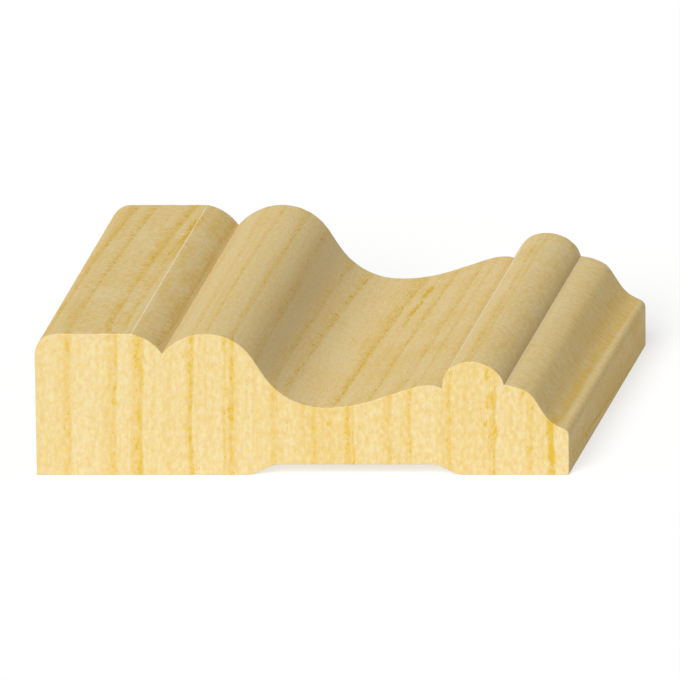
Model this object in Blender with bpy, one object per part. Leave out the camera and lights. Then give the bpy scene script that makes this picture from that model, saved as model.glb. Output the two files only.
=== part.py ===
"""Casing moulding: a short length of wooden door or window casing, cut square at both ends.

The piece lies on its back. X runs across its width, from the thick outer edge to the thin inner edge,
Y runs along its length, and Z runs up from the back to the moulded face. The origin is under the middle
of the piece. Sizes are in millimetres and angles in degrees, and only the finished mesh is in metres.

The widths below follow each other across the face, so the width over all is their sum, 108 mm.
"""

import math

import bmesh
import bpy
from mathutils import Vector

NAME = "casing_moulding"

# stock
LENGTH = 60.0
THICKNESS = 28.5

# outer edge and the flat band beside it
OUTER_EDGE_LEAN = 1.1
OUTER_CORNER_RADIUS = 4.2
BAND_WIDTH = 19.5

# rounded shoulder, falling from the flat band into the quirk
SHOULDER_WIDTH = 6.3
SHOULDER_BREAK = 11.5
QUIRK_DEPTH = 4.0

# torus, and the long fall from its crest to the bottom of the cove
TORUS_RADIUS = 11.5
FALL_WIDTH = 24.0
FALL_STRAIGHT = 4.1

# rise from the cove to the low swell
RISE_WIDTH = 21.4
SWELL_RISE = 4.5
RISE_STRAIGHT = 6.9
SWELL_RADIUS = 12.8

# end of the swell, rolling down to the step at the foot of the bead
SWELL_END_WIDTH = 2.4
SWELL_END_DROP = 0.75
BEAD_STEP = 0.95

# bead: an ellipse that leans towards the inner edge, cut off where the ovolo starts
BEAD_SEMI_WIDTH = 6.4
BEAD_SEMI_HEIGHT = 5.0
BEAD_LEAN = 12.5
BEAD_HEEL = 20.0

# ovolo with an eased edge, then a hollow down to the nose; the angles are the slope of the face
OVOLO_START = 3.4
OVOLO_RADIUS = 10.3
OVOLO_END = 31.5
EASE_RADIUS = 4.3
EASE_END = 57.0
CAVETTO_STRAIGHT = 3.4
CAVETTO_RADIUS = 7.6
CAVETTO_END = 18.5
NOSE_RADIUS = 1.7
INNER_EDGE_HEIGHT = 7.8

# relief of the back, between the two feet that lie against the wall
OUTER_FOOT_WIDTH = 42.3
INNER_FOOT_WIDTH = 21.1
RELIEF_DEPTH = 2.1
RELIEF_EASE_WIDTH = 6.9
RELIEF_EASE_STRAIGHT = 2.4

# how far a facet may stand off the true curve, and the widest turn between two facets
FACET_SAGITTA = 0.004
FACET_TURN = 8.0
SHARP_ANGLE = 30.0

MM = 0.001

WOOD_COLOUR = (0.66, 0.50, 0.22, 1.0)
WOOD_ROUGHNESS = 0.6


def facet_count(radius, turn):
    """How many facets an arc of this radius needs for a turn in radians."""
    widest = min(2.0 * math.acos(1.0 - FACET_SAGITTA / radius), math.radians(FACET_TURN))
    return max(2, math.ceil(abs(turn) / widest))


class Run:
    """A line drawn across the face, with tangent arcs. Headings are in radians, 0 along +X and up to +Z."""

    def __init__(self, x, z):
        self.points = [(x, z)]

    def line_to(self, x, z):
        self.points.append((x, z))

    def line(self, length, heading):
        x, z = self.points[-1]
        self.line_to(x + length * math.cos(heading), z + length * math.sin(heading))

    def arc(self, radius, start, end):
        """Turn from one heading to another on an arc."""
        x, z = self.points[-1]
        side = math.copysign(radius, end - start)
        centre_x = x - side * math.sin(start)
        centre_z = z + side * math.cos(start)
        count = facet_count(radius, end - start)
        for step in range(1, count + 1):
            heading = start + (end - start) * step / count
            self.line_to(centre_x + side * math.sin(heading), centre_z - side * math.cos(heading))

    def level_ogee(self, width, rise, straight, first_radius=None, last_radius=None):
        """Go from level to level: an arc, a straight and a counter arc, over this width and rise.

        One radius is given and the other follows. With neither given, both are the same.
        """
        half_tan = abs(rise) / (width + straight)
        slope = math.copysign(2.0 * math.atan(half_tan), rise)
        both_radii = (width - straight + (width + straight) * half_tan**2) / (2.0 * half_tan)
        if last_radius is not None:
            first_radius = both_radii - last_radius
        elif first_radius is None:
            first_radius = both_radii / 2.0
        self.arc(first_radius, 0.0, slope)
        self.line(straight, slope)
        self.arc(both_radii - first_radius, slope, 0.0)

    def append(self, other):
        """Add another run, moved so that it starts where this one ends."""
        x, z = self.points[-1]
        start_x, start_z = other.points[0]
        for other_x, other_z in other.points[1:]:
            self.line_to(x + other_x - start_x, z + other_z - start_z)


def add_outer_edge(run):
    """Outer edge, leaning out as it goes up, its rounded corner and the flat band."""
    lean = math.radians(OUTER_EDGE_LEAN)
    corner_x = OUTER_CORNER_RADIUS * (1.0 - math.cos(lean))
    corner_z = THICKNESS - OUTER_CORNER_RADIUS * (1.0 + math.sin(lean))
    run.line_to(corner_x, corner_z)
    run.arc(OUTER_CORNER_RADIUS, math.pi / 2.0 + lean, 0.0)
    run.line_to(BAND_WIDTH, THICKNESS)


def add_shoulder_and_torus(run):
    """One arc from the break at the flat band down into the quirk, then the torus up to its crest."""
    chord = math.atan2(-QUIRK_DEPTH, SHOULDER_WIDTH)
    start = -math.radians(SHOULDER_BREAK)
    end = 2.0 * chord - start
    radius = math.hypot(SHOULDER_WIDTH, QUIRK_DEPTH) / (2.0 * math.sin((start - end) / 2.0))
    run.arc(radius, start, end)
    run.arc(TORUS_RADIUS, math.acos(1.0 - QUIRK_DEPTH / TORUS_RADIUS), 0.0)


def bead_run():
    """The bead from its foot, where it stands upright, over its crest to its heel."""
    lean = math.radians(BEAD_LEAN)
    foot = math.pi + math.atan2(BEAD_SEMI_HEIGHT * math.sin(lean), BEAD_SEMI_WIDTH * math.cos(lean))
    heel = math.radians(BEAD_HEEL)

    def on_bead(angle):
        along = BEAD_SEMI_WIDTH * math.cos(angle)
        across = BEAD_SEMI_HEIGHT * math.sin(angle)
        return (
            along * math.cos(lean) + across * math.sin(lean),
            across * math.cos(lean) - along * math.sin(lean),
        )

    count = facet_count(BEAD_SEMI_WIDTH, foot - heel)
    run = Run(*on_bead(foot))
    for step in range(1, count + 1):
        run.line_to(*on_bead(foot + (heel - foot) * step / count))
    return run


def inner_run():
    """From the bottom of the cove to the end of the nose: rise, swell, bead, ovolo and cavetto."""
    run = Run(0.0, 0.0)
    run.level_ogee(RISE_WIDTH, SWELL_RISE, RISE_STRAIGHT, last_radius=SWELL_RADIUS)
    end_radius = (SWELL_END_WIDTH**2 + SWELL_END_DROP**2) / (2.0 * SWELL_END_DROP)
    run.arc(end_radius, 0.0, -2.0 * math.atan2(SWELL_END_DROP, SWELL_END_WIDTH))
    run.line(BEAD_STEP, math.pi / 2.0)
    run.append(bead_run())

    ovolo_start, ovolo_end, ease_end, cavetto_end = (
        -math.radians(slope) for slope in (OVOLO_START, OVOLO_END, EASE_END, CAVETTO_END)
    )
    run.arc(OVOLO_RADIUS, ovolo_start, ovolo_end)
    run.arc(EASE_RADIUS, ovolo_end, ease_end)
    run.line(CAVETTO_STRAIGHT, ease_end)
    run.arc(CAVETTO_RADIUS, ease_end, cavetto_end)
    run.arc(NOSE_RADIUS, cavetto_end, -math.pi / 2.0)
    return run


def face_run():
    """The face, from the foot of the outer edge over all members to the foot of the inner edge."""
    inner = inner_run()
    cove_height = INNER_EDGE_HEIGHT - inner.points[-1][1]
    edge_foot_x = (THICKNESS - OUTER_CORNER_RADIUS) * math.tan(math.radians(OUTER_EDGE_LEAN))
    run = Run(edge_foot_x, 0.0)
    add_outer_edge(run)
    add_shoulder_and_torus(run)
    run.level_ogee(FALL_WIDTH, cove_height - THICKNESS, FALL_STRAIGHT, first_radius=TORUS_RADIUS)
    run.append(inner)
    run.line_to(run.points[-1][0], 0.0)
    return run


def back_run(outer_x, inner_x):
    """The back between the edges of the two feet: up into the relief, across it and down again."""
    run = Run(outer_x + OUTER_FOOT_WIDTH, 0.0)
    run.level_ogee(RELIEF_EASE_WIDTH, RELIEF_DEPTH, RELIEF_EASE_STRAIGHT)
    run.line_to(inner_x - INNER_FOOT_WIDTH - RELIEF_EASE_WIDTH, RELIEF_DEPTH)
    run.level_ogee(RELIEF_EASE_WIDTH, -RELIEF_DEPTH, RELIEF_EASE_STRAIGHT)
    return run


def profile_points():
    """The whole section as (x, z) points, clockwise, with x measured from the middle of the width."""
    face = face_run().points
    back = back_run(face[0][0], face[-1][0]).points
    middle = (min(x for x, _ in face) + max(x for x, _ in face)) / 2.0
    return [(x - middle, z) for x, z in face + back[::-1]]


def make_wood():
    """Bare, planed softwood."""
    material = bpy.data.materials.new("bare_pine")
    material.use_nodes = True
    shader = material.node_tree.nodes["Principled BSDF"]
    shader.inputs["Base Color"].default_value = WOOD_COLOUR
    shader.inputs["Roughness"].default_value = WOOD_ROUGHNESS
    shader.inputs["Metallic"].default_value = 0.0
    material.diffuse_color = WOOD_COLOUR
    return material


def make_moulding():
    """Extrude the section along the length, half of it to each side of the origin."""
    shape = bmesh.new()
    near = [shape.verts.new((x * MM, -LENGTH / 2.0 * MM, z * MM)) for x, z in reversed(profile_points())]
    end = shape.faces.new(near)
    extruded = bmesh.ops.extrude_face_region(shape, geom=[end], use_keep_orig=True)
    far = [item for item in extruded["geom"] if isinstance(item, bmesh.types.BMVert)]
    bmesh.ops.translate(shape, verts=far, vec=Vector((0.0, LENGTH * MM, 0.0)))
    bmesh.ops.recalc_face_normals(shape, faces=shape.faces)

    mesh = bpy.data.meshes.new(NAME)
    shape.to_mesh(mesh)
    shape.free()
    mesh.shade_smooth()
    mesh.set_sharp_from_angle(angle=math.radians(SHARP_ANGLE))
    mesh.materials.append(make_wood())

    moulding = bpy.data.objects.new(NAME, mesh)
    bpy.context.collection.objects.link(moulding)
    return moulding


for old in list(bpy.data.objects):
    bpy.data.objects.remove(old, do_unlink=True)

make_moulding()
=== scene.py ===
"""Looks of the casing moulding: bare, planed pine on a pale floor, seen square on to its cut end.

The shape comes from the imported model. Its cut end is read back as an outline, the facets between its
vertices are rounded off, and the outline is drawn along the length again as one fine mesh that carries
what the plain solid leaves out: growth rings that stand a little proud, the planer's ripples and eased
cut edges. Lengths are in millimetres, except where a comment says metres.
"""

import math

import bmesh
import bpy
import numpy as np
from mathutils import Euler, Matrix, Vector
from mathutils.geometry import delaunay_2d_cdt


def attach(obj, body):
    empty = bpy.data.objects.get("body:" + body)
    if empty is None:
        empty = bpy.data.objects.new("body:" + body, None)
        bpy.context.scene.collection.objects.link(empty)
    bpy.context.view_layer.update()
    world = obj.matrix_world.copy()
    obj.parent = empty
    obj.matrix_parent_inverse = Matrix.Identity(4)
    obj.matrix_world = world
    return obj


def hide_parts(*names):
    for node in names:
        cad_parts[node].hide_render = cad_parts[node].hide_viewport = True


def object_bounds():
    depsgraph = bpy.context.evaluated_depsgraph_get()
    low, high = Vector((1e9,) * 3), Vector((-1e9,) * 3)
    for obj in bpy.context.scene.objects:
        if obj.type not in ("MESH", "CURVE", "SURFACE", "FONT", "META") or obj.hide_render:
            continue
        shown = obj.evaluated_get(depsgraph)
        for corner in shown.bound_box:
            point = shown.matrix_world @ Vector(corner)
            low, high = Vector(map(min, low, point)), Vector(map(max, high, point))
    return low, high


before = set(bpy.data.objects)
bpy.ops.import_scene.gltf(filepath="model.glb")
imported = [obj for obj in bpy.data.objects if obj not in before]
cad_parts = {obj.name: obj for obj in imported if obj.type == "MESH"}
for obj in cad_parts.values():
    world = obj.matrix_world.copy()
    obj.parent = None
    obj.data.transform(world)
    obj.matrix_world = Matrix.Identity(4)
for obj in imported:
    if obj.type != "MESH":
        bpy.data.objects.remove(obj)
cad_low, cad_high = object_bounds()

NODE = "casing_moulding"

MM = 0.001

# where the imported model's two cut ends are
NEAR_Y = cad_low.y / MM
FAR_Y = cad_high.y / MM
LENGTH = FAR_Y - NEAR_Y

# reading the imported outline, in metres: vertices this close are one, and one this low lies on the wall
SAME_PLACE = 1e-6
ON_WALL = 1e-5

# fine mesh: how far the outline turns at a corner and at a square one, how many times longer than the next
# facet a straight one is, and how far apart the vertices are
CORNER_TURN = math.radians(10.0)
SQUARE_TURN = math.radians(60.0)
STRAIGHT_RATIO = 2.0
FACE_PITCH = 0.42
BACK_PITCH = 0.9
ROW_PITCH = 0.5
END_PITCH = 0.7

# filling a cut end: the height of a triangle of side 1, and how far the grid keeps from the outline, as a
# share of its pitch
TRIANGLE_HEIGHT = math.sqrt(0.75)
GRID_MARGIN = 0.45
FILL_INSIDE = 1
FILL_TOLERANCE = 1e-7

# eased edges of the feet
FOOT_EASE = 0.25
FOOT_EASE_POINTS = 5

# eased cut edges: their radius, how much it varies, and the share of a corner's own radius that it keeps to
CUT_EASE = 0.14
CUT_EASE_VARIES = 0.08
CUT_EASE_CELL = 1.3
CUT_EASE_SEED = 11
CUT_EASE_STEPS = 3
CUT_EASE_ROOM = 0.6
FLATTEST_TURN = 1e-3

# the wood's own coordinates, in which the two cut ends are set apart from the long surfaces
END_SHIFT = 200.0

# flat map of the whole surface: the gap between its strips, and where those above the face's strip start
MAP_GAP = 1.0
MAP_ABOVE = LENGTH + 2 * MAP_GAP

# relief of the long surfaces, all of it cut into the wood; the fibres' size is in cells per millimetre
# across and along the grain
RAISED_GRAIN = 0.025
FIBRE_RELIEF = 0.012
FIBRE_CELLS = (2.2, 0.22)
FIBRE_SEED = 21
KNIFE_PITCH = 2.4
KNIFE_DEPTH = 0.008

# relief of the cut ends, and the share of it that the saw's marks take; the marks run slanting across
SAW_RELIEF = 0.020
SAW_SHARE = 0.4
SAW_SLANT = 0.15
SAW_CLOSENESS = 0.5
SAW_BREAKS = 0.02
SAW_CELL = 0.9
SAW_SEED = 31

# growth rings: where each one shows across the width on the near cut end, where on the long surfaces at
# their near end and at their far end, how wide its soft flank is, and how strong it is on the cut ends
# and on the long surfaces
GROWTH_RINGS = (
    (-55.6, -55.6, -53.4, 2.0, 0.10, 0.42),
    (-52.4, -51.5, -48.2, 2.2, 0.10, 0.95),
    (-47.1, -47.6, -44.1, 2.9, 0.50, 0.80),
    (-37.8, -40.1, -36.6, 3.2, 0.55, 0.98),
    (-35.4, -36.8, -32.7, 1.8, 0.10, 0.62),
    (-32.6, -33.5, -30.8, 3.0, 0.85, 0.10),
    (-29.8, -29.0, -28.4, 1.4, 0.12, 0.80),
    (-26.6, -26.4, -26.1, 1.8, 0.12, 0.35),
    (-22.3, -22.3, -22.2, 1.5, 0.92, 0.60),
    (-20.9, -20.9, -20.6, 0.8, 0.10, 0.30),
    (-19.3, -19.5, -18.6, 1.4, 0.10, 0.75),
    (-15.5, -15.8, -15.2, 0.9, 0.60, 0.05),
    (-14.2, -14.5, -13.8, 1.8, 0.82, 0.70),
    (-9.6, -9.9, -9.9, 2.4, 0.10, 0.65),
    (-5.3, -6.4, -4.9, 1.8, 0.52, 0.65),
    (-2.6, -3.7, -1.0, 2.0, 0.10, 0.85),
    (0.6, 0.7, 2.4, 1.0, 0.50, 0.00),
    (2.7, 2.6, 4.4, 1.8, 0.62, 0.05),
    (4.4, 5.0, 6.0, 0.8, 0.20, 0.45),
    (6.1, 6.9, 10.6, 2.4, 0.25, 1.02),
    (9.5, 10.9, 13.1, 1.6, 0.80, 0.30),
    (10.5, 11.6, 13.9, 0.9, 0.80, 0.05),
    (13.4, 13.8, 16.5, 2.2, 0.08, 0.80),
    (17.8, 20.2, 22.0, 2.2, 0.45, 0.70),
    (21.9, 23.3, 24.4, 1.4, 0.55, 0.65),
    (25.9, 26.8, 26.9, 0.8, 0.10, 0.35),
    (29.8, 29.8, 30.8, 2.0, 0.50, 0.10),
    (32.8, 32.9, 33.3, 1.1, 0.18, 0.80),
    (33.6, 33.9, 34.9, 1.0, 0.15, 0.62),
    (37.2, 37.2, 38.2, 1.2, 0.22, 0.10),
    (39.0, 39.0, 40.0, 1.8, 0.85, 0.10),
    (46.3, 46.2, 47.0, 1.8, 0.50, 0.15),
    (48.4, 49.6, 50.2, 2.0, 0.08, 0.20),
    (50.5, 51.8, 52.5, 1.7, 1.80, 0.90),
    (54.6, 54.6, 55.0, 2.6, 0.10, 0.10),
)

# a ring darkens over its soft flank as this power, and pales again over its sharp edge, which is a share of
# the flank, up to a widest one; each pair is for the cut ends and the long surfaces
RING_FLANK_POWER = 1.5
RING_EDGE = (0.9, 0.6)
RING_EDGE_SHARE = (0.45, 0.3)

# how the rings run along the length: they swing from the near place to the far one as this power, bend
# over from the cut end within this length, and wander to and fro; each layer of wandering has a cell size,
# the cells' squeeze across, along and up, how far it reaches, and a seed
RING_SWING = 2.0
RING_BEND = 1.6
RING_WANDER = (
    (9.0, (1.0, 0.4, 0.8), 0.3, 3),
    (3.2, (0.7, 0.5, 1.0), 0.09, 4),
)

# how far from a cut end the long surfaces take on their own look
END_FADE = 0.8

# resin streaks on the long surfaces: place across the width, height above the wall, share of the length
# from the near end, half the length, half the width, how many degrees they turn from the length, and how
# strong they are
RESIN_STREAKS = (
    (-34.9, 28.5, 0.84, 3.4, 0.70, -9.0, 1.15),
    (-35.5, 28.5, 0.74, 3.6, 0.65, -12.0, 1.10),
    (-36.1, 28.5, 0.63, 1.8, 0.55, -8.0, 0.85),
    (12.2, 14.5, 0.86, 3.8, 0.85, -7.0, 1.15),
    (11.6, 14.4, 0.73, 5.0, 0.75, -7.0, 1.10),
    (11.0, 14.3, 0.63, 1.6, 0.50, -6.0, 0.75),
    (54.0, 2.0, 0.43, 26.0, 0.65, -2.8, 0.95),
    (54.0, 7.2, 0.87, 5.0, 0.50, -6.0, 0.70),
)

# deep golden spots on the near cut end: place across the width, height above the wall, half their height,
# half their width and how strong they are
GOLDEN_SPOTS = (
    (-47.4, 26.2, 1.5, 0.5, 0.75),
    (-38.0, 14.8, 1.4, 0.5, 0.70),
    (-33.5, 23.0, 2.2, 0.7, 0.95),
    (-33.3, 26.8, 1.1, 0.9, 0.80),
    (-32.8, 6.9, 1.3, 0.7, 0.90),
    (-32.8, 1.7, 1.5, 0.6, 0.90),
    (-23.2, 24.4, 1.1, 0.9, 0.75),
    (-22.5, 21.8, 1.6, 0.7, 0.90),
    (-22.4, 16.0, 2.4, 0.5, 0.80),
    (-22.2, 0.8, 1.4, 0.6, 0.90),
    (-15.7, 27.0, 1.1, 0.6, 0.80),
    (-14.6, 13.4, 2.0, 0.6, 0.90),
    (-6.1, 15.4, 2.0, 0.7, 0.75),
    (5.7, 10.3, 0.9, 0.7, 0.75),
    (9.4, 8.3, 0.9, 0.7, 0.85),
    (9.4, 5.4, 1.0, 0.7, 0.90),
    (21.7, 16.8, 1.4, 0.4, 0.90),
    (37.4, 20.4, 2.0, 0.5, 0.95),
    (37.7, 14.4, 1.6, 0.6, 0.85),
    (37.1, 10.2, 1.2, 0.5, 0.80),
    (39.1, 8.7, 1.6, 0.7, 1.05),
    (44.7, 16.6, 1.1, 0.5, 0.85),
    (50.2, 9.2, 2.8, 0.8, 1.20),
    (50.5, 4.6, 1.5, 0.8, 1.00),
)

# painted highlights: fine pale lines along the length where the arrises and the bead's edge catch the
# light:
# place across the width, height and strength; they have columns of vertices of their own
PAINTED_HIGHLIGHT_LINES = (
    (-34.5, 28.5, 0.85),
    (29.75, 21.5, 1.1),
    (40.95, 18.1, 0.65),
)
HIGHLIGHT_HALF_WIDTH = 0.06
HIGHLIGHT_FADE = 0.08
HIGHLIGHT_CLEARANCE = 0.05

# parts of the face with the knives' crosswise strokes, and the part where these are long and slanting
STROKED = ((-50.0, -28.4), (35.0, 56.0))
STROKED_FADE = 1.5
BRUSHED = (40.4, 54.5)

# how strong the fine grain is, at places across the width, on the long surfaces and on the cut ends
GRAIN_ACROSS = (
    (-34.3, 1.0), (-33.5, 0.75), (-30.0, 0.75), (-28.5, 1.0), (-27.0, 0.8), (-8.0, 0.85), (-2.0, 1.15),
    (26.0, 1.25), (30.0, 1.2), (36.0, 1.15), (40.0, 0.8), (41.5, 0.5), (53.0, 0.5), (54.0, 1.4),
)
GRAIN_ON_END = ((-10.0, 1.0), (15.0, 1.18))

# how much more golden the long surfaces are, or paler below 0, at places across the width; partly the
# wood's own tone and partly painted shade and light that evens out how the members are lit, the inner edge
# painted darker
GOLDEN_AND_SHADE_ACROSS = (
    (-54.0, 0.03), (-50.0, 0.0), (-31.0, 0.0), (-28.6, -0.06), (-27.0, -0.11), (-24.0, -0.08),
    (-21.0, -0.03), (-17.0, -0.06), (-12.0, -0.05), (-8.5, -0.13), (-5.0, -0.08), (1.0, -0.07),
    (5.0, -0.06), (9.0, 0.0), (27.5, 0.0), (29.6, -0.14), (31.5, -0.03), (37.0, -0.03), (40.6, 0.0),
    (41.4, -0.10), (44.0, -0.05), (48.0, 0.04), (50.0, 0.10), (51.2, 0.14), (52.5, 0.03), (53.6, 0.02),
    (54.0, 0.20),
)

# the same for the cut ends
GOLDEN_ON_END = (
    (-54.0, 0.05), (-45.0, 0.0), (-37.0, 0.0), (-34.0, 0.04), (-29.0, 0.0), (-24.0, 0.04), (-20.0, 0.0),
    (-14.0, 0.03), (0.0, 0.04), (4.0, 0.09), (8.0, 0.07), (12.0, 0.02), (18.0, 0.06), (25.0, 0.0),
    (28.0, 0.07), (34.0, 0.08), (38.0, 0.03), (45.0, 0.02), (50.0, 0.0),
)

# clouds of more and less golden wood: how strong they are at places across the width, and their size
CLOUDS_ACROSS = (
    (-54.0, 0.10), (-35.0, 0.10), (-33.0, 0.14), (-29.0, 0.14), (-28.0, 0.03), (-10.0, 0.03), (0.0, 0.09),
    (28.0, 0.09), (31.0, 0.10), (40.0, 0.08), (41.5, 0.04), (50.0, 0.05), (53.9, 0.08), (54.0, 0.14),
)
CLOUD_SIZE = (3.6, 5.5)
CLOUD_SEED = 53

# long grain lines on the outer edge and the back, which the photograph doesn't show: how strong they are,
# their size across and along, and where the outer edge turns into the face
PLAIN_LINES = 0.18
PLAIN_LINE_SIZE = (0.8, 26.0)
PLAIN_LINE_SEED = 59
OUTER_EDGE_X = (-53.4, -52.4)

# faint pale marks of the knives across the face: from and to across the width, share of the length from
# the near end, half the width along the length, and how much paler
KNIFE_MARKS = (
    (-50.0, -45.5, 0.43, 0.4, 0.08),
    (-47.0, -40.0, 0.39, 0.4, 0.07),
    (-46.5, -38.5, 0.748, 0.5, 0.17),
    (-49.0, -36.0, 0.79, 0.5, 0.10),
    (-40.5, -35.5, 0.84, 0.5, 0.09),
    (-33.5, -29.5, 0.75, 0.6, 0.10),
    (-2.5, 5.0, 0.415, 0.4, 0.09),
    (11.0, 27.5, 0.925, 1.0, 0.12),
    (10.5, 20.0, 0.80, 0.7, 0.08),
    (20.0, 27.5, 0.755, 0.9, 0.08),
    (30.5, 40.5, 0.925, 1.0, 0.11),
    (31.0, 40.5, 0.76, 0.9, 0.11),
    (44.0, 50.0, 0.31, 0.6, 0.06),
)

# how much light a white cut end throws towards the camera
END_LIGHT = 1.37

# the wood's colours from the palest to the most golden: how golden each one is, and the light that it
# throws from the near cut end
WOOD_TONES = (
    (0.00, (0.930, 0.770, 0.435)),
    (0.11, (0.922, 0.731, 0.361)),
    (0.19, (0.910, 0.700, 0.315)),
    (0.31, (0.894, 0.657, 0.251)),
    (0.43, (0.882, 0.626, 0.200)),
    (0.56, (0.868, 0.604, 0.150)),
    (0.72, (0.855, 0.575, 0.102)),
    (1.00, (0.815, 0.525, 0.043)),
)

# noises of the wood's pattern: their cells per millimetre across and along the grain, a shift that keeps
# them apart, how many finer layers they have and how strong these are
NOISES = {
    "ragged rings": (0.9, 0.35, 0.0, 2.0, 0.5),
    "uneven rings": (0.7, 0.3, 7.0, 2.0, 0.5),
    "grain": (1.1, 0.66, 3.0, 3.0, 0.65),
    "grit": (4.5, 2.2, 67.0, 1.0, 0.5),
    "bands": (0.32, 0.035, 13.0, 2.0, 0.6),
    "lines": (2.2, 0.03, 23.0, 1.0, 0.5),
    "short strokes": (0.55, 2.4, 29.0, 2.0, 0.6),
    "long strokes": (0.3, 1.7, 33.0, 3.0, 0.7),
    "specks": (2.2, 1.0, 19.0, 1.0, 0.5),
    "dashes": (1.0, 1.3, 71.0, 1.0, 0.5),
    "clusters": (0.35, 0.22, 73.0, 1.0, 0.5),
    "ragged streaks": (2.5, 0.9, 51.0, 2.0, 0.6),
    "broken streaks": (0.9, 0.8, 57.0, 1.0, 0.5),
    "flecks": (1.3, 0.7, 37.0, 3.0, 0.65),
    "patches": (0.9, 0.5, 41.0, 3.0, 0.6),
    "highlight breaks": (0.5, 0.5, 61.0, 2.0, 0.6),
    "fibres": (3.4, 0.6, 43.0, 3.0, 0.6),
    "cross fibres": (0.7, 3.0, 47.0, 2.0, 0.6),
}
NOISE_MIDDLE = 0.5
NOISE_RANGE = (0.3, 0.7)
LONG_STROKE_SLANT = math.radians(-6.0)

# how much more golden each part of the pattern makes the wood; a pair is for cut ends and long surfaces
BASE_TONE = 0.145
GRAIN_TONE = (0.75, 0.45)
GRIT_TONE = (0.12, 0.85)
STROKED_GRIT = -0.35
BAND_TONE = 0.20
LINE_TONE = 0.15
STROKE_TONE = 0.85
RING_TONE = (0.46, 0.27)
SPECK_TONE = (1.35, 1.30)
RESIN_TONE = 0.95

# how far noise and strokes push the rings, how deep strokes cut them, and how weak and strong they get
RING_RAGGED = (0.6, 0.2)
STROKE_RAGGED = 1.5
STROKE_CUTS = 1.5
RING_WEAKEST = (0.5, 0.75)
RING_STRONGEST = (1.4, 1.2)

# specks show where their noise passes a limit, which falls over this range of the rings' darkness and is
# higher where the strokes are long; clusters make the specks weaker and stronger
SPECK_LIMIT_OFF_RINGS = (0.76, 0.77)
SPECK_LIMIT_ON_RINGS = 0.53
SPECK_RINGS = (0.1, 0.8)
BRUSHED_LIMIT = 0.12
SPECK_SOFTNESS = 0.2
CLUSTER_RANGE = (0.4, 0.6)
CLUSTER_STRENGTH = (0.35, 1.25)

# a streak or spot fades between these distances from its middle, as shares of its half size, and noise
# moves its border in and out and makes it weaker and stronger
STREAK_FADE = (0.5, 1.3)
STREAK_RAGGED = (-0.3, 0.6)
BROKEN_RANGE = (0.35, 0.6)
BROKEN_STRENGTH = (0.55, 1.2)

# tints over the wood's colours, and the colour of the painted highlight lines with the noise that breaks
# them up
LEMON_WOOD = (1.018, 1.058, 0.973, 1.0)
LILAC_WOOD = (0.982, 0.979, 1.027, 1.0)
PINK_WOOD = (1.0, 0.965, 1.0, 1.0)
LONG_TINT = (0.995, 0.962, 0.905, 1.0)
HIGHLIGHT_COLOUR = (0.86, 0.77, 0.58, 1.0)
HIGHLIGHT_BREAK_RANGE = (0.3, 0.6)
HIGHLIGHT_BREAK_STRENGTH = (0.55, 0.95)

# surface: its roughness between the rings and on them, its gloss, and the fibres' bumps
ROUGHNESS = (0.64, 0.50)
GLOSS = 0.25
CROSS_FIBRE_SHARE = 0.6
BUMP_STRENGTH = 0.4
BUMP_HEIGHT = 0.04

# floor, which glows a little; its reach is in metres
WHITE = (1.0, 1.0, 1.0, 1.0)
FLOOR_REACH = 5.0
FLOOR_LOOK = {
    "Base Color": (0.36, 0.36, 0.36, 1.0),
    "Emission Color": WHITE,
    "Emission Strength": 0.63,
    "Roughness": 0.9,
    "Specular IOR Level": 0.0,
}

# light
KEY_DIRECTION = (-0.25, -0.74, 0.80)
KEY_SPREAD = math.radians(45.0)
KEY_STRENGTH = 1.10
FILL_COLOUR = (1.0, 0.985, 0.96, 1.0)
FILL_STRENGTH = 0.25
BACKDROP_STRENGTH = 0.96

# photograph: its frame and scale, how its receding edges run, and where the near cut end stands in it
FRAME_PX = 680
MM_PER_PX = 0.20195
RECEDES_PX = (76.9, 129.5)
END_MIDDLE_PX = 301.6
END_FOOT_PX = 475.2

# camera: how far it stands back, and from where to where it sees, in metres
CAMERA_BACK = 0.5
CAMERA_SEES = (0.01, 20.0)

# turning a lattice point's numbers into one that looks random, with this many levels
SEED_FACTOR = 7919
SEED_OFFSET = 17
SPREAD = np.uint64(0x9E3779B97F4A7C15)
SCRAMBLE = np.uint64(0xBF58476D1CE4E5B9)
FOLD = np.uint64(29)
LEVELS = 65536


def smooth_noise(points, size, seed):
    """Smooth noise from -1 to 1 at points, with cells of the given size."""
    points = np.atleast_2d(points) / size
    cell = np.floor(points).astype(np.int64)
    part = points - cell
    part = part * part * (3.0 - 2.0 * part)
    total = np.zeros(len(points))
    dims = points.shape[1]
    for corner in range(2**dims):
        step = np.array([(corner >> axis) & 1 for axis in range(dims)])
        weight = np.prod(np.where(step == 1, part, 1.0 - part), axis=1)
        total += weight * lattice_value(cell + step, seed)
    return total


def lattice_value(cell, seed):
    """A fixed value from -1 to 1 for each lattice point."""
    mixed = np.full(len(cell), seed * SEED_FACTOR + SEED_OFFSET, np.uint64)
    for axis in range(cell.shape[1]):
        mixed ^= cell[:, axis].astype(np.uint64) * SPREAD
        mixed *= SCRAMBLE
        mixed ^= mixed >> FOLD
    return (mixed % np.uint64(LEVELS)).astype(float) / ((LEVELS - 1) / 2.0) - 1.0


def smooth_step(low, high, value):
    """From 0 at the low value to 1 at the high one, without a kink."""
    part = np.clip((value - low) / (high - low), 0.0, 1.0)
    return part * part * (3.0 - 2.0 * part)


def read_table(table, x):
    """The values at places x from a table of places and values, on straight lines between them."""
    return np.interp(x, *zip(*table))


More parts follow.
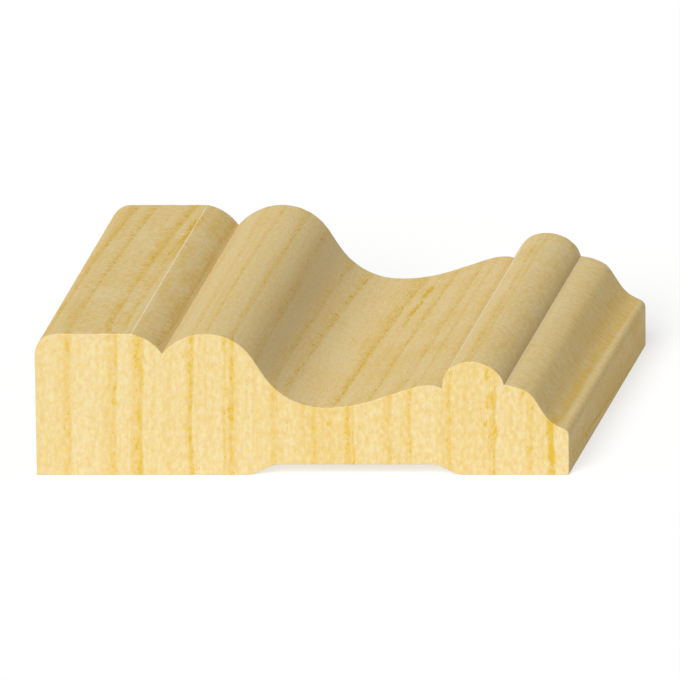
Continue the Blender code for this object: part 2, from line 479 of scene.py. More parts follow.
def section_outline(node):
    """The node's near end as (x, z) points, clockwise for the viewer, from the foot of the outer edge."""
    shape = bmesh.new()
    shape.from_mesh(node.data)
    bmesh.ops.remove_doubles(shape, verts=shape.verts, dist=SAME_PLACE)
    near_y = min(vert.co.y for vert in shape.verts)
    in_end = {vert for vert in shape.verts if vert.co.y < near_y + SAME_PLACE}
    beside = {vert: [] for vert in in_end}
    for edge in shape.edges:
        first, second = edge.verts
        if first in in_end and second in in_end:
            end_faces = [face for face in edge.link_faces if all(vert in in_end for vert in face.verts)]
            if len(end_faces) == 1:
                beside[first].append(second)
                beside[second].append(first)
    on_wall = [vert for vert in beside if beside[vert] and vert.co.z < ON_WALL]
    start = min(on_wall, key=lambda vert: vert.co.x)
    loop = [start]
    step = max(beside[start], key=lambda vert: vert.co.z)
    while step is not start:
        loop.append(step)
        step = next(vert for vert in beside[step] if vert is not loop[-2])
    points = np.array([(vert.co.x, vert.co.z) for vert in loop]) / MM
    shape.free()
    return points


def turn_at(points):
    """The turn at each point of a closed outline, in radians, positive to the right."""
    before = points - np.roll(points, 1, axis=0)
    after = np.roll(points, -1, axis=0) - points
    cross = before[:, 0] * after[:, 1] - before[:, 1] * after[:, 0]
    return -np.arctan2(cross, (before * after).sum(axis=1))


def ease_feet(points):
    """Rounds the square corners of the feet."""
    turns = turn_at(points)
    eased = []
    for place, point in enumerate(points):
        if turns[place] < SQUARE_TURN:
            eased.append(point)
            continue
        back = points[place - 1] - point
        ahead = points[(place + 1) % len(points)] - point
        start = point + back / np.hypot(*back) * FOOT_EASE
        end = point + ahead / np.hypot(*ahead) * FOOT_EASE
        for part in np.linspace(0.0, 1.0, FOOT_EASE_POINTS):
            eased.append((1 - part) ** 2 * start + 2 * part * (1 - part) * point + part**2 * end)
    return np.array(eased)


def round_facets(points):
    """Adds points between the outline's vertices, on curves that run through them without a kink."""
    turns = turn_at(points)
    after = np.roll(points, -1, axis=0) - points
    lengths = np.hypot(*after.T)
    ways = after / lengths[:, None]
    inner_edge = points[:, 0].argmax()

    def tangent(place, segment):
        """The curve's direction at a vertex, for the segment that ends or starts there."""
        if abs(turns[place]) > CORNER_TURN:
            return ways[segment]
        behind, ahead = lengths[place - 1], lengths[place]
        if behind > STRAIGHT_RATIO * ahead:
            return ways[place - 1]
        if ahead > STRAIGHT_RATIO * behind:
            return ways[place]
        mixed = ways[place - 1] * ahead + ways[place] * behind
        return mixed / np.hypot(*mixed)

    fine = []
    for place, start in enumerate(points):
        next_place = (place + 1) % len(points)
        end = points[next_place]
        leave = tangent(place, place) * lengths[place]
        arrive = tangent(next_place, place) * lengths[place]
        pitch = FACE_PITCH if place <= inner_edge + 1 else BACK_PITCH
        parts = max(1, math.ceil(lengths[place] / pitch))
        for step in range(parts):
            t = step / parts
            fine.append(
                (2 * t**3 - 3 * t**2 + 1) * start
                + (t**3 - 2 * t**2 + t) * leave
                + (3 * t**2 - 2 * t**3) * end
                + (t**3 - t**2) * arrive
            )
    return np.array(fine)


def arc_lengths(points):
    """How far round a closed outline each of its points is, and last the whole way round."""
    runs = np.hypot(*(np.roll(points, -1, axis=0) - points).T)
    return np.concatenate(([0.0], np.cumsum(runs)))


def arc_length_at(points, x, z):
    """How far round the outline its point nearest to a place is."""
    return arc_lengths(points)[np.hypot(points[:, 0] - x, points[:, 1] - z).argmin()]


def inner_foot(points):
    """The number of the outline's point at the foot of the inner edge, where the back starts."""
    return np.hypot(points[:, 0] - points[:, 0].max(), points[:, 1]).argmin()


def add_line_columns(points):
    """Adds close columns of vertices beside each painted highlight line, so that it can be drawn sharp."""
    across = arc_lengths(points)
    reach = HIGHLIGHT_HALF_WIDTH + HIGHLIGHT_FADE
    kept = list(zip(across, points))
    for x, z, _ in PAINTED_HIGHLIGHT_LINES:
        middle = arc_length_at(points, x, z)
        corners = np.abs(turn_at(np.array([point for _, point in kept]))) > CORNER_TURN
        kept = [
            (place, point) for (place, point), corner in zip(kept, corners)
            if abs(place - middle) > reach + HIGHLIGHT_CLEARANCE or corner
        ]
        for place in (middle - reach, middle - HIGHLIGHT_HALF_WIDTH, middle + HIGHLIGHT_HALF_WIDTH, middle + reach):
            point = [np.interp(place, across, np.append(values, values[0])) for values in points.T]
            kept.append((place, np.array(point)))
        kept.sort(key=lambda item: item[0])
    return np.array([point for _, point in kept])


def inward_normals(points):
    """Unit normals into the wood. A sharp corner takes the mean of its two sides."""
    ways = np.roll(points, -1, axis=0) - points
    ways /= np.hypot(*ways.T)[:, None]
    mean = ways + np.roll(ways, 1, axis=0)
    mean /= np.hypot(*mean.T)[:, None]
    return np.column_stack((mean[:, 1], -mean[:, 0]))


def ring_place(x, y, z):
    """Where points lie among the growth rings, as a place across the width of the near cut end."""
    points = np.column_stack((x, y, z))
    x = x + sum(
        reach * smooth_noise(points * squeeze, size, seed) for size, squeeze, reach, seed in RING_WANDER
    )
    along = ((y - NEAR_Y) / LENGTH) ** RING_SWING
    bend = np.exp(-(y - NEAR_Y) / RING_BEND)
    ends = [ring[0] for ring in GROWTH_RINGS]
    shown = []
    for on_end, near, far, *_ in GROWTH_RINGS:
        shown.append(on_end * bend + (near + (far - near) * along) * (1.0 - bend))
    place = x + ends[0] - shown[0]
    for number in range(len(ends) - 1):
        part = (x - shown[number]) / (shown[number + 1] - shown[number])
        between = ends[number] + part * (ends[number + 1] - ends[number])
        place = np.where(part >= 0.0, between, place)
    return np.where(x > shown[-1], x + ends[-1] - shown[-1], place)


def away_from_ends(y):
    """0 on the cut ends and 1 away from them, for places along the length."""
    return 1.0 - np.exp(-np.minimum(y - NEAR_Y, FAR_Y - y) / END_FADE)


def ring_edges(width):
    """A ring's sharp edge on the cut ends and on the faces, for the width of its flank."""
    return [min(widest, share * width) for widest, share in zip(RING_EDGE, RING_EDGE_SHARE)]


def ring_darkness(place, inside):
    """How dark the rings are at places among them. Inside is 0 on the cut ends and 1 away from them."""
    dark = np.zeros(len(place))
    for middle, _, _, width, end_strength, face_strength in GROWTH_RINGS:
        rise = np.clip((place - middle) / width + 1.0, 0.0, 1.0) ** RING_FLANK_POWER
        end_edge, face_edge = ring_edges(width)
        fall = 1.0 - smooth_step(0.0, end_edge + (face_edge - end_edge) * inside, place - middle)
        dark = np.maximum(dark, rise * fall * (end_strength + (face_strength - end_strength) * inside))
    return np.minimum(dark, 1.0)


def relief_depth(dark, across, y):
    """How deep the planed surface lies: low between the rings, rippled by fibres and by the knives."""
    fibres = smooth_noise(np.column_stack((across, y)) * FIBRE_CELLS, 1.0, FIBRE_SEED)
    knives = np.cos(2.0 * math.pi * y / KNIFE_PITCH)
    return (
        RAISED_GRAIN * (1.0 - dark)
        + FIBRE_RELIEF * (1.0 + fibres) / 2.0
        + KNIFE_DEPTH * (1.0 + knives) / 2.0
    )


def length_rows():
    """The rows of the mesh: their y, and the shares of the cut edge's easing along it and inwards."""
    rows = []
    for step in range(CUT_EASE_STEPS, 0, -1):
        angle = math.pi / 2 * step / CUT_EASE_STEPS
        rows.append((1.0 - math.sin(angle), 1.0 - math.cos(angle)))
    start = [(NEAR_Y, along, inwards) for along, inwards in rows]
    end = [(FAR_Y, -along, inwards) for along, inwards in reversed(rows)]
    inner = CUT_EASE + CUT_EASE_VARIES
    middle = np.linspace(NEAR_Y + inner, FAR_Y - inner, round(LENGTH / ROW_PITCH))
    return start + [(y, 0.0, 0.0) for y in middle] + end


def cut_edge_easing(outline):
    """How far the cut edge is eased at each point of the outline. A tight corner leaves less room."""
    across = arc_lengths(outline)
    runs = np.diff(across)
    places = np.column_stack((across[:-1], np.zeros(len(outline))))
    eased = CUT_EASE + CUT_EASE_VARIES * smooth_noise(places, CUT_EASE_CELL, CUT_EASE_SEED)
    radius = (runs + np.roll(runs, 1)) / 2.0 / np.maximum(turn_at(outline), FLATTEST_TURN)
    return np.minimum(eased, CUT_EASE_ROOM * radius)


def long_surface_points(outline):
    """The vertices of the long surfaces, one array for each row along the length."""
    normals = inward_normals(outline)
    across = arc_lengths(outline)[:-1]
    eased = cut_edge_easing(outline)
    rows = []
    for base_y, along, inwards in length_rows():
        y = base_y + along * eased
        dark = ring_darkness(ring_place(outline[:, 0], y, outline[:, 1]), away_from_ends(y))
        depth = relief_depth(dark, across, y) + inwards * eased
        moved = outline + normals * depth[:, None]
        rows.append(np.column_stack((moved[:, 0], y, moved[:, 1])))
    return rows


def inside_outline(points, outline, margin):
    """Which points lie inside the outline and further than the margin from it."""
    x, z = points[:, 0, None], points[:, 1, None]
    start_x, start_z = outline.T
    end_x, end_z = np.roll(outline, -1, axis=0).T
    crosses = (start_z > z) != (end_z > z)
    with np.errstate(divide="ignore", invalid="ignore"):
        at = start_x + (z - start_z) * (end_x - start_x) / (end_z - start_z)
    inside = (crosses & (x < at)).sum(axis=1) % 2 == 1
    run_x, run_z = end_x - start_x, end_z - start_z
    part = np.clip(((x - start_x) * run_x + (z - start_z) * run_z) / (run_x**2 + run_z**2), 0.0, 1.0)
    away = np.hypot(x - start_x - part * run_x, z - start_z - part * run_z).min(axis=1)
    return inside & (away > margin)


def end_triangles(outline):
    """Fills the outline with triangles over a staggered grid. Returns grid points and triangles."""
    low, high = outline.min(axis=0), outline.max(axis=0)
    rows = np.arange(low[1], high[1], END_PITCH * TRIANGLE_HEIGHT)
    grid = []
    for number, z in enumerate(rows):
        shift = END_PITCH / 2 if number % 2 else 0.0
        grid.extend((x, z) for x in np.arange(low[0] + shift, high[0], END_PITCH))
    grid = np.array(grid)
    grid = grid[inside_outline(grid, outline, END_PITCH * GRID_MARGIN)]
    count = len(outline)
    loop = [(place, (place + 1) % count) for place in range(count)]
    flat = [Vector(point) for point in np.vstack((outline, grid))]
    _, _, faces, came_from, _, _ = delaunay_2d_cdt(flat, loop, [], FILL_INSIDE, FILL_TOLERANCE)
    to_input = [sources[0] for sources in came_from]
    return grid, [[to_input[corner] for corner in face] for face in faces]


def sawn_points(grid, base_y, side, seed):
    """The vertices inside a cut end, sunk by the saw and between the rings."""
    x, z = grid.T
    dark = ring_darkness(ring_place(x, np.full(len(x), base_y), z), 0.0)
    places = np.column_stack((x * SAW_SLANT + z * SAW_CLOSENESS, x * SAW_BREAKS))
    saw = smooth_noise(places, SAW_CELL, seed)
    depth = SAW_RELIEF * ((1.0 - SAW_SHARE) * (1.0 - dark) + SAW_SHARE * (1.0 + saw) / 2.0)
    return np.column_stack((x, base_y - side * depth, z))


class Faces:
    """The mesh's faces, and where each corner is in the grain map and in the flat map."""

    def __init__(self, outline):
        self.outline = outline
        self.corners = []
        self.grain = []
        self.flat_map = []

    def add(self, corners, grain, flat_map):
        self.corners.append(corners)
        self.grain.extend(grain)
        self.flat_map.extend(flat_map)

    def add_long_surfaces(self, rows):
        """Squares between the rows. In the flat map the back's strip lies above the face's."""
        count = len(self.outline)
        across = arc_lengths(self.outline)
        foot = inner_foot(self.outline)
        for row in range(len(rows) - 1):
            here, there = row * count, (row + 1) * count
            y_here, y_there = rows[row][:, 1], rows[row + 1][:, 1]
            for column in range(count):
                ahead = (column + 1) % count
                places = (
                    (across[column], y_here[column]), (across[column + 1], y_here[ahead]),
                    (across[column + 1], y_there[ahead]), (across[column], y_there[column]),
                )
                left, up = (0.0, MAP_GAP) if column < foot else (across[foot], MAP_ABOVE)
                corners = (here + column, here + ahead, there + ahead, there + column)
                self.add(corners, places, [(s - left + MAP_GAP, y - NEAR_Y + up) for s, y in places])

    def add_cut_end(self, triangles, flat, numbers, side, beside):
        """Triangles over flat points with these numbers, beside the back's strip in the flat map."""
        left = self.outline[:, 0].min()
        for triangle in triangles:
            turned = triangle if side < 0 else triangle[::-1]
            places = [flat[corner] for corner in turned]
            self.add(
                [numbers[corner] for corner in turned],
                [(x, z + side * END_SHIFT) for x, z in places],
                [(beside + z, x - left + MAP_ABOVE) for x, z in places],
            )


def make_wood_mesh(outline):
    """The moulding as one fine mesh, with its relief and the marks that its material reads."""
    rows = long_surface_points(outline)
    faces = Faces(outline)
    faces.add_long_surfaces(rows)
    vertices = np.vstack(rows)

    across = arc_lengths(outline)
    beside = across[-1] - across[inner_foot(outline)] + 2 * MAP_GAP
    for row, side in ((0, -1), (len(rows) - 1, 1)):
        edge = rows[row][:, [0, 2]]
        grid, triangles = end_triangles(edge)
        edge_numbers = range(row * len(outline), (row + 1) * len(outline))
        grid_numbers = range(len(vertices), len(vertices) + len(grid))
        flat = np.vstack((edge, grid))
        faces.add_cut_end(triangles, flat, [*edge_numbers, *grid_numbers], side, beside)
        vertices = np.vstack((vertices, sawn_points(grid, rows[row][0, 1], side, SAW_SEED + row)))
        beside += outline[:, 1].max() + MAP_GAP

    mesh = bpy.data.meshes.new("wood")
    mesh.from_pydata([tuple(point) for point in vertices * MM], [], faces.corners)
    grain, flat_map = np.array(faces.grain), np.array(faces.flat_map)
    for name, places in (("grain", grain), ("OFBake", flat_map / (flat_map.max() + MAP_GAP))):
        mesh.uv_layers.new(name=name).data.foreach_set("uv", places.astype(np.float32).ravel())
    add_marks(mesh, vertices, outline, len(rows))
    mesh.shade_smooth()
    mark_sharp(mesh, outline, len(rows))
    return mesh


def stretch_of_face(x, low, high):
    """1 between two places across the width and 0 outside them, with soft borders."""
    return smooth_step(low, low + STROKED_FADE, x) * (1.0 - smooth_step(high - STROKED_FADE, high, x))


def painted_highlight_marks(across, outline):
    """How much the painted highlight lines pale the long surfaces. They stop short of the cut edges."""
    pale = np.zeros(len(across))
    for x, z, strength in PAINTED_HIGHLIGHT_LINES:
        away = np.abs(across - arc_length_at(outline, x, z))
        line = strength * (1.0 - smooth_step(HIGHLIGHT_HALF_WIDTH, HIGHLIGHT_HALF_WIDTH + HIGHLIGHT_FADE, away))
        pale = np.maximum(pale, line)
    pale[:len(outline)] = 0.0
    pale[-len(outline):] = 0.0
    return pale


def golden_and_shade_marks(across, x, y, on_face):
    """How much more golden the long surfaces are: by place, with painted shade and light, in clouds and
    lines, less at knife marks.
    """
    places = np.column_stack((across, y))
    # the table by place holds painted shade and light as well as the wood's own tone
    golden = read_table(GOLDEN_AND_SHADE_ACROSS, x)
    golden += smooth_noise(places, CLOUD_SIZE, CLOUD_SEED) * read_table(CLOUDS_ACROSS, x)
    plain = np.maximum(1.0 - smooth_step(*OUTER_EDGE_X, x), 1.0 - on_face)
    golden += PLAIN_LINES * smooth_noise(places, PLAIN_LINE_SIZE, PLAIN_LINE_SEED) * plain
    for low, high, share, half_width, paler in KNIFE_MARKS:
        mark = np.exp(-(((y - NEAR_Y - share * LENGTH) / half_width) ** 2))
        golden -= paler * mark * stretch_of_face(x, low, high) * on_face
    return golden


def long_surface_marks(outline, row_count, x, y):
    """What the material reads at the long surfaces' vertices."""
    across = np.tile(arc_lengths(outline)[:-1], row_count)
    on_face = across < arc_lengths(outline)[inner_foot(outline)]
    inside = away_from_ends(y)
    strokes = np.maximum(*(stretch_of_face(x, low, high) for low, high in STROKED))

    def fading_to_end(values, end_table):
        at_end = read_table(end_table, x)
        return at_end + (values - at_end) * inside

    return {
        "inside": inside,
        # painted highlight lines along the arrises
        "painted_highlight": painted_highlight_marks(across, outline),
        "strokes": strokes * on_face,
        "brushed": stretch_of_face(x, *BRUSHED) * on_face,
        "golden": fading_to_end(golden_and_shade_marks(across, x, y, on_face), GOLDEN_ON_END),
        "grain_share": fading_to_end(read_table(GRAIN_ACROSS, x), GRAIN_ON_END),
    }


def cut_end_marks(x):
    """What the material reads at the vertices inside the cut ends."""
    marks = dict.fromkeys(("inside", "painted_highlight", "strokes", "brushed"), np.zeros(len(x)))
    marks["golden"] = read_table(GOLDEN_ON_END, x)
    marks["grain_share"] = read_table(GRAIN_ON_END, x)
    return marks


def add_marks(mesh, vertices, outline, row_count):
    """Writes what the material reads at each vertex: the long surfaces' first, then the cut ends'."""
    x, y, z = vertices.T
    sides = len(outline) * row_count
    on_sides = long_surface_marks(outline, row_count, x[:sides], y[:sides])
    on_ends = cut_end_marks(x[sides:])
    marks = {name: np.concatenate((values, on_ends[name])) for name, values in on_sides.items()}
    marks["ring_place"] = ring_place(x, y, z)
    for name, values in marks.items():
        mark = mesh.attributes.new(name, "FLOAT", "POINT")
        mark.data.foreach_set("value", values.astype(np.float32))


def mark_sharp(mesh, outline, row_count):
    """Keeps the arrises of the profile and the borders of the cut ends sharp in the shading."""
    count = len(outline)
    sharp_columns = np.flatnonzero(np.abs(turn_at(outline)) > CORNER_TURN)
    ends = np.empty(len(mesh.edges) * 2, np.int32)
    mesh.edges.foreach_get("vertices", ends)
    first, second = ends.reshape(-1, 2).T
    on_side = (first < count * row_count) & (second < count * row_count)
    along = on_side & (first % count == second % count) & np.isin(first % count, sharp_columns)
    row_first, row_second = first // count, second // count
    border = on_side & (row_first == row_second) & np.isin(row_first, (0, row_count - 1))
    sharp = mesh.attributes.new("sharp_edge", "BOOLEAN", "EDGE")
    sharp.data.foreach_set("value", along | border)


def add_object(name, data):
    """A new object in the scene."""
    thing = bpy.data.objects.new(name, data)
    bpy.context.scene.collection.objects.link(thing)
    return thing


def add_material(name):
    """A new material and its shader."""
    material = bpy.data.materials.new(name)
    material.use_nodes = True
    return material, material.node_tree.nodes["Principled BSDF"]


class Nodes:
    """Short forms for building a node tree."""

    def __init__(self, tree):
        self.tree = tree

    def add(self, kind, values=None, **settings):
        """A new node with its settings and inputs."""
        node = self.tree.nodes.new(kind)
        for name, value in settings.items():
            setattr(node, name, value)
        for name, value in (values or {}).items():
            self.give(node.inputs[name], value)
        return node

    def give(self, socket, value):
        """Links an output to a socket, or sets the socket's own value."""
        if isinstance(value, bpy.types.NodeSocket):
            self.tree.links.new(value, socket)
        else:
            socket.default_value = value

    def math(self, operation, first, second=0.0, third=0.0, clamp=False):
        node = self.add("ShaderNodeMath", operation=operation, use_clamp=clamp)
        for socket, value in zip(node.inputs, (first, second, third)):
            self.give(socket, value)
        return node.outputs[0]

    def remap(self, value, low, high, to_low=0.0, to_high=1.0, kind="LINEAR"):
        node = self.add("ShaderNodeMapRange", interpolation_type=kind, clamp=True)
        for socket, number in zip(node.inputs, (value, low, high, to_low, to_high)):
            self.give(socket, number)
        return node.outputs[0]

    def mix(self, factor, first, second, blend="MIX"):
        node = self.add("ShaderNodeMix", data_type="RGBA", blend_type=blend)
        self.give(node.inputs["Factor"], factor)
        self.give(node.inputs["A"], first)
        self.give(node.inputs["B"], second)
        return node.outputs["Result"]


class Wood(Nodes):
    """Nodes for the wood's pattern, which read the mesh's grain map and marks."""

    def __init__(self, tree, outline):
        super().__init__(tree)
        self.outline = outline
        self.grain = self.add("ShaderNodeUVMap", uv_map="grain").outputs[0]
        self.inside = self.mark("inside")
        self.strokes = self.mark("strokes")
        self.brushed = self.mark("brushed")
        self.grain_share = self.mark("grain_share")

    def mark(self, name):
        """What the mesh's vertices say under this name."""
        return self.add("ShaderNodeAttribute", attribute_name=name).outputs["Fac"]

    def noise(self, name, slant=0.0):
        """One of the wood's noises, from 0 to 1."""
        across, along, shift, detail, roughness = NOISES[name]
        place = self.grain
        if slant:
            values = {"Vector": place, "Rotation": (0.0, 0.0, slant)}
            place = self.add("ShaderNodeMapping", values).outputs[0]
        values = {"Vector": place, "Scale": (across, along, 1.0), "Location": (shift, shift, 0.0)}
        place = self.add("ShaderNodeMapping", values).outputs[0]
        values = {"Vector": place, "Scale": 1.0, "Detail": detail, "Roughness": roughness}
        return self.add("ShaderNodeTexNoise", values, noise_dimensions="2D").outputs["Fac"]

    def centred(self, noise, amount):
        """A noise that swings round 0, times an amount."""
        return self.math("MULTIPLY", self.math("SUBTRACT", noise, NOISE_MIDDLE), amount)

    def by_side(self, on_end, on_face):
        """One number on the cut ends and another on the long surfaces."""
        return self.math("MULTIPLY_ADD", self.inside, on_face - on_end, on_end)

    def crosswise(self):
        """The knives' strokes across the wood: short, and on the brushed part long and slanting."""
        short = self.noise("short strokes")
        long = self.noise("long strokes", LONG_STROKE_SLANT)
        return self.math("MULTIPLY_ADD", self.math("SUBTRACT", long, short), self.brushed, short)

    def ring_band(self, place):
        """The rings' darkness, as ring_darkness works it out, but free to pass 1."""
        dark = None
        for middle, _, _, width, end_strength, face_strength in GROWTH_RINGS:
            rise = self.math("POWER", self.remap(place, middle - width, middle), RING_FLANK_POWER)
            end_edge, face_edge = ring_edges(width)
            edge = self.math("MULTIPLY_ADD", self.inside, face_edge - end_edge, middle + end_edge)
            fall = self.remap(place, middle, edge, 1.0, 0.0, kind="SMOOTHSTEP")
            strength = self.math("MULTIPLY_ADD", self.inside, face_strength - end_strength, end_strength)
            band = self.math("MULTIPLY", self.math("MULTIPLY", rise, fall), strength)
            dark = band if dark is None else self.math("MAXIMUM", dark, band)
        return dark

    def rings(self, crosswise):
        """The rings with ragged edges, uneven in strength and cut across by the knives' strokes."""
        ragged = self.centred(self.noise("ragged rings"), self.by_side(*RING_RAGGED))
        place = self.math("ADD", self.mark("ring_place"), ragged)
        pushed = self.math("MULTIPLY", self.centred(crosswise, STROKE_RAGGED), self.strokes)
        rings = self.ring_band(self.math("ADD", place, pushed))
        weakest, strongest = self.by_side(*RING_WEAKEST), self.by_side(*RING_STRONGEST)
        uneven = self.remap(self.noise("uneven rings"), *NOISE_RANGE, weakest, strongest)
        rings = self.math("MULTIPLY", rings, uneven)
        cuts = self.math("MULTIPLY", self.centred(crosswise, STROKE_CUTS), self.strokes)
        return self.math("MULTIPLY", rings, self.math("ADD", cuts, 1.0))

    def fine_grain(self, crosswise):
        """Grain, grit, bands, fine lines along the grain and strokes across it, all round 0."""
        grain = self.centred(self.noise("grain"), self.by_side(*GRAIN_TONE))
        amount = self.math("MULTIPLY_ADD", self.strokes, STROKED_GRIT, self.by_side(*GRIT_TONE))
        grit = self.centred(self.noise("grit"), amount)
        bands = self.centred(self.noise("bands"), BAND_TONE)
        unbrushed = self.math("SUBTRACT", 1.0, self.brushed)
        lines = self.math("MULTIPLY", self.centred(self.noise("lines"), LINE_TONE), unbrushed)
        stroked = self.math("MULTIPLY", self.centred(crosswise, STROKE_TONE), self.strokes)
        tone = self.math("MULTIPLY", grain, self.grain_share)
        for part in (self.math("MULTIPLY", grit, self.grain_share), bands, lines, stroked):
            tone = self.math("ADD", tone, part)
        return tone

    def specks(self, rings):
        """Deep golden specks along the rings, in clusters, and dashes where the knives cut across."""
        specks = self.noise("specks")
        turned = self.math("SUBTRACT", self.noise("dashes"), specks)
        specks = self.math("ADD", specks, self.math("MULTIPLY", turned, self.strokes))
        off_rings = self.by_side(*SPECK_LIMIT_OFF_RINGS)
        limit = self.remap(rings, *SPECK_RINGS, off_rings, SPECK_LIMIT_ON_RINGS)
        limit = self.math("MULTIPLY_ADD", self.brushed, BRUSHED_LIMIT, limit)
        over = self.math("SUBTRACT", specks, limit)
        tone = self.by_side(*SPECK_TONE)
        specks = self.remap(over, 0.0, SPECK_SOFTNESS, 0.0, tone, kind="SMOOTHSTEP")
        share = self.math("MULTIPLY", self.grain_share, self.grain_share)
        specks = self.math("MULTIPLY", specks, share)
        clusters = self.remap(self.noise("clusters"), *CLUSTER_RANGE, *CLUSTER_STRENGTH)
        return self.math("MULTIPLY", specks, clusters)

    def placed_streaks(self):
        """Each streak's and spot's place in the grain map, half width and length, turn and strength."""
        for x, z, along, half_length, half_width, turn, strength in RESIN_STREAKS:
            place = (arc_length_at(self.outline, x, z), NEAR_Y + along * LENGTH, 0.0)
            yield place, (half_width, half_length, 1.0), math.radians(turn), strength
        for x, z, half_height, half_width, strength in GOLDEN_SPOTS:
            yield (x, z - END_SHIFT, 0.0), (half_width, half_height, 1.0), 0.0, strength

    def resin(self):
        """The resin streaks and the golden spots, from 0 up, with ragged borders."""
        ragged = self.remap(self.noise("ragged streaks"), *NOISE_RANGE, *STREAK_RAGGED)
        broken = self.remap(self.noise("broken streaks"), *BROKEN_RANGE, *BROKEN_STRENGTH)
        band = None
        for place, size, turn, strength in self.placed_streaks():
            values = {"Vector": self.grain, "Location": place, "Rotation": (0.0, 0.0, turn), "Scale": size}
            local = self.add("ShaderNodeMapping", values, vector_type="TEXTURE").outputs[0]
            away = self.add("ShaderNodeVectorMath", {"Vector": local}, operation="LENGTH").outputs["Value"]
            away = self.math("ADD", away, ragged)
            streak = self.remap(away, *STREAK_FADE, strength, 0.0, kind="SMOOTHSTEP")
            band = streak if band is None else self.math("MAXIMUM", band, streak)
        return self.math("MULTIPLY", band, broken)

    def tone(self, crosswise, rings):
        """How golden the wood is, from 0 to 1: all parts of the pattern together."""
        tone = self.fine_grain(crosswise)
        # the golden mark carries painted shade and light from the table by place as well as the wood's tone
        for part in (self.mark("golden"), BASE_TONE):
            tone = self.math("ADD", tone, part)
        tone = self.math("MULTIPLY_ADD", rings, self.by_side(*RING_TONE), tone)
        tone = self.math("ADD", tone, self.specks(rings))
        tone = self.math("MAXIMUM", tone, self.math("MULTIPLY", self.resin(), RESIN_TONE))
        return self.math("ADD", tone, 0.0, clamp=True)

    def colour(self, tone):
        """The wood's colour for how golden it is, with faint tints and the painted highlight lines over it.
        """
        tones = self.add("ShaderNodeValToRGB", {"Fac": tone})
        ramp = tones.color_ramp
        while len(ramp.elements) < len(WOOD_TONES):
            ramp.elements.new(1.0)
        for stop, (golden, light) in zip(ramp.elements, WOOD_TONES):
            stop.position = golden
            stop.color = (*(value / END_LIGHT for value in light), 1.0)
        flecks = self.remap(self.noise("flecks"), *NOISE_RANGE)
        colour = self.mix(1.0, tones.outputs["Color"], self.mix(flecks, LEMON_WOOD, LILAC_WOOD), "MULTIPLY")
        patches = self.remap(self.noise("patches"), *NOISE_RANGE)
        colour = self.mix(patches, colour, PINK_WOOD, "MULTIPLY")
        colour = self.mix(self.inside, colour, LONG_TINT, "MULTIPLY")
        # painted highlights: pale lines along the arrises, broken up by noise
        breaks = self.remap(self.noise("highlight breaks"), *HIGHLIGHT_BREAK_RANGE, *HIGHLIGHT_BREAK_STRENGTH)
        return self.mix(self.math("MULTIPLY", self.mark("painted_highlight"), breaks), colour, HIGHLIGHT_COLOUR)

    def bump(self):
        """The bumps of the fibres, along the grain and across it where the knives left strokes."""
        across = self.math("MULTIPLY", self.noise("cross fibres"), self.strokes)
        height = self.math("MULTIPLY_ADD", across, CROSS_FIBRE_SHARE, self.noise("fibres"))
        values = {"Strength": BUMP_STRENGTH, "Distance": BUMP_HEIGHT * MM, "Height": height}
        return self.add("ShaderNodeBump", values).outputs[0]


def make_pine(outline):
    """Bare pine: pale wood, amber rings with golden specks, fine fibres and a satin surface."""
    material, shader = add_material("bare_pine")
    wood = Wood(material.node_tree, outline)
    crosswise = wood.crosswise()
    rings = wood.rings(crosswise)
    wood.give(shader.inputs["Base Color"], wood.colour(wood.tone(crosswise, rings)))
    wood.give(shader.inputs["Roughness"], wood.remap(rings, 0.0, 1.0, *ROUGHNESS))
    wood.give(shader.inputs["Normal"], wood.bump())
    shader.inputs["Specular IOR Level"].default_value = GLOSS
    return material


def make_floor():
    """A plain, pale floor that runs far past the frame."""
    mesh = bpy.data.meshes.new("floor")
    sides = ((-1, -1), (1, -1), (1, 1), (-1, 1))
    mesh.from_pydata([(x * FLOOR_REACH, y * FLOOR_REACH, 0.0) for x, y in sides], [], [(0, 1, 2, 3)])
    material, shader = add_material("floor")
    for name, value in FLOOR_LOOK.items():
        shader.inputs[name].default_value = value
    mesh.materials.append(material)
    floor = add_object("floor", mesh)


def make_key():
    """One large, distant softbox from the front left and above."""
    light = bpy.data.lights.new("key", "SUN")
    light.angle = KEY_SPREAD
    light.energy = KEY_STRENGTH * math.pi
    key = add_object("key", light)
    key.rotation_euler = Vector(KEY_DIRECTION).normalized().to_track_quat("Z", "Y").to_euler()


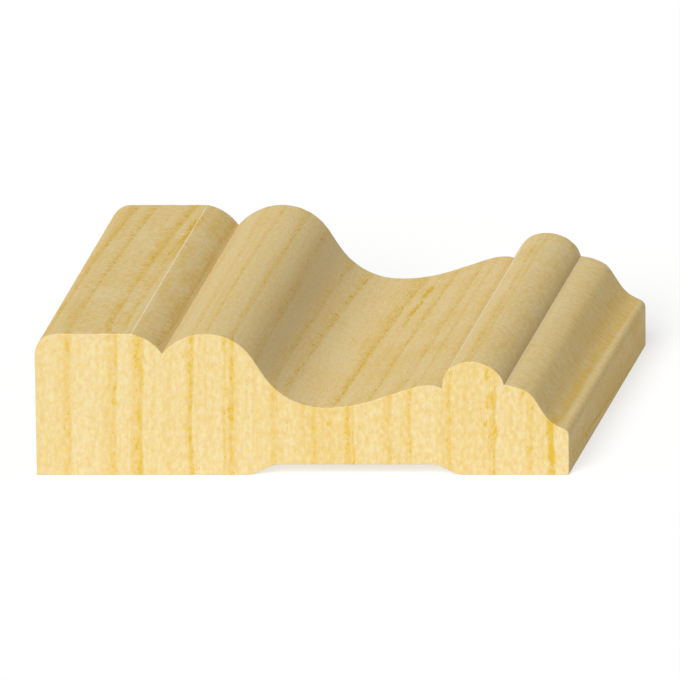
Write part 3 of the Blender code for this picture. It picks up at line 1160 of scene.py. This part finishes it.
def make_world():
    """An even fill from all round, with a brighter backdrop where the camera sees past the floor."""
    world = bpy.data.worlds.new("studio")
    bpy.context.scene.world = world
    world.use_nodes = True
    tree = world.node_tree
    n = Nodes(tree)
    fill = tree.nodes["Background"]
    fill.inputs["Color"].default_value = FILL_COLOUR
    fill.inputs["Strength"].default_value = FILL_STRENGTH
    seen = n.add("ShaderNodeBackground", {"Color": WHITE, "Strength": BACKDROP_STRENGTH})
    rays = n.add("ShaderNodeLightPath")
    both = n.add("ShaderNodeMixShader")
    sources = (rays.outputs["Is Camera Ray"], fill.outputs[0], seen.outputs[0])
    for socket, source in zip(both.inputs, sources):
        n.give(socket, source)
    n.give(tree.nodes["World Output"].inputs["Surface"], both.outputs[0])


def make_camera():
    """The photograph's oblique view: the cut end undistorted, the length up and to the right.

    A parallel camera looks along the length. The empty that carries it shears it, so that a step along the
    length moves a point across and up the picture as the receding edges do.
    """
    sideways, upwards = (px * MM_PER_PX / LENGTH for px in RECEDES_PX)
    middle_x = (FRAME_PX / 2 - END_MIDDLE_PX) * MM_PER_PX
    middle_z = (END_FOOT_PX - FRAME_PX / 2) * MM_PER_PX
    aim = add_object("camera_aim", None)
    aim.location = Vector((middle_x, NEAR_Y, middle_z)) * MM
    lens = bpy.data.cameras.new("camera")
    lens.type = "ORTHO"
    lens.ortho_scale = FRAME_PX * MM_PER_PX * MM
    lens.clip_start, lens.clip_end = CAMERA_SEES
    camera = add_object("camera", lens)
    camera.parent = aim
    shear = Matrix.Identity(4)
    shear[0][1] = -sideways
    shear[2][1] = -upwards
    camera.matrix_parent_inverse = shear
    camera.location = (0.0, -CAMERA_BACK, 0.0)
    camera.rotation_euler = Euler((math.pi / 2, 0.0, 0.0))
    bpy.context.scene.camera = camera


outline = add_line_columns(round_facets(ease_feet(section_outline(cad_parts[NODE]))))
wood = add_object("moulding_wood", make_wood_mesh(outline))
wood.data.materials.append(make_pine(outline))
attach(wood, "root")
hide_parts(NODE)

make_floor()
make_key()
make_world()
make_camera()
bpy.context.scene.view_settings.view_transform = "Standard"
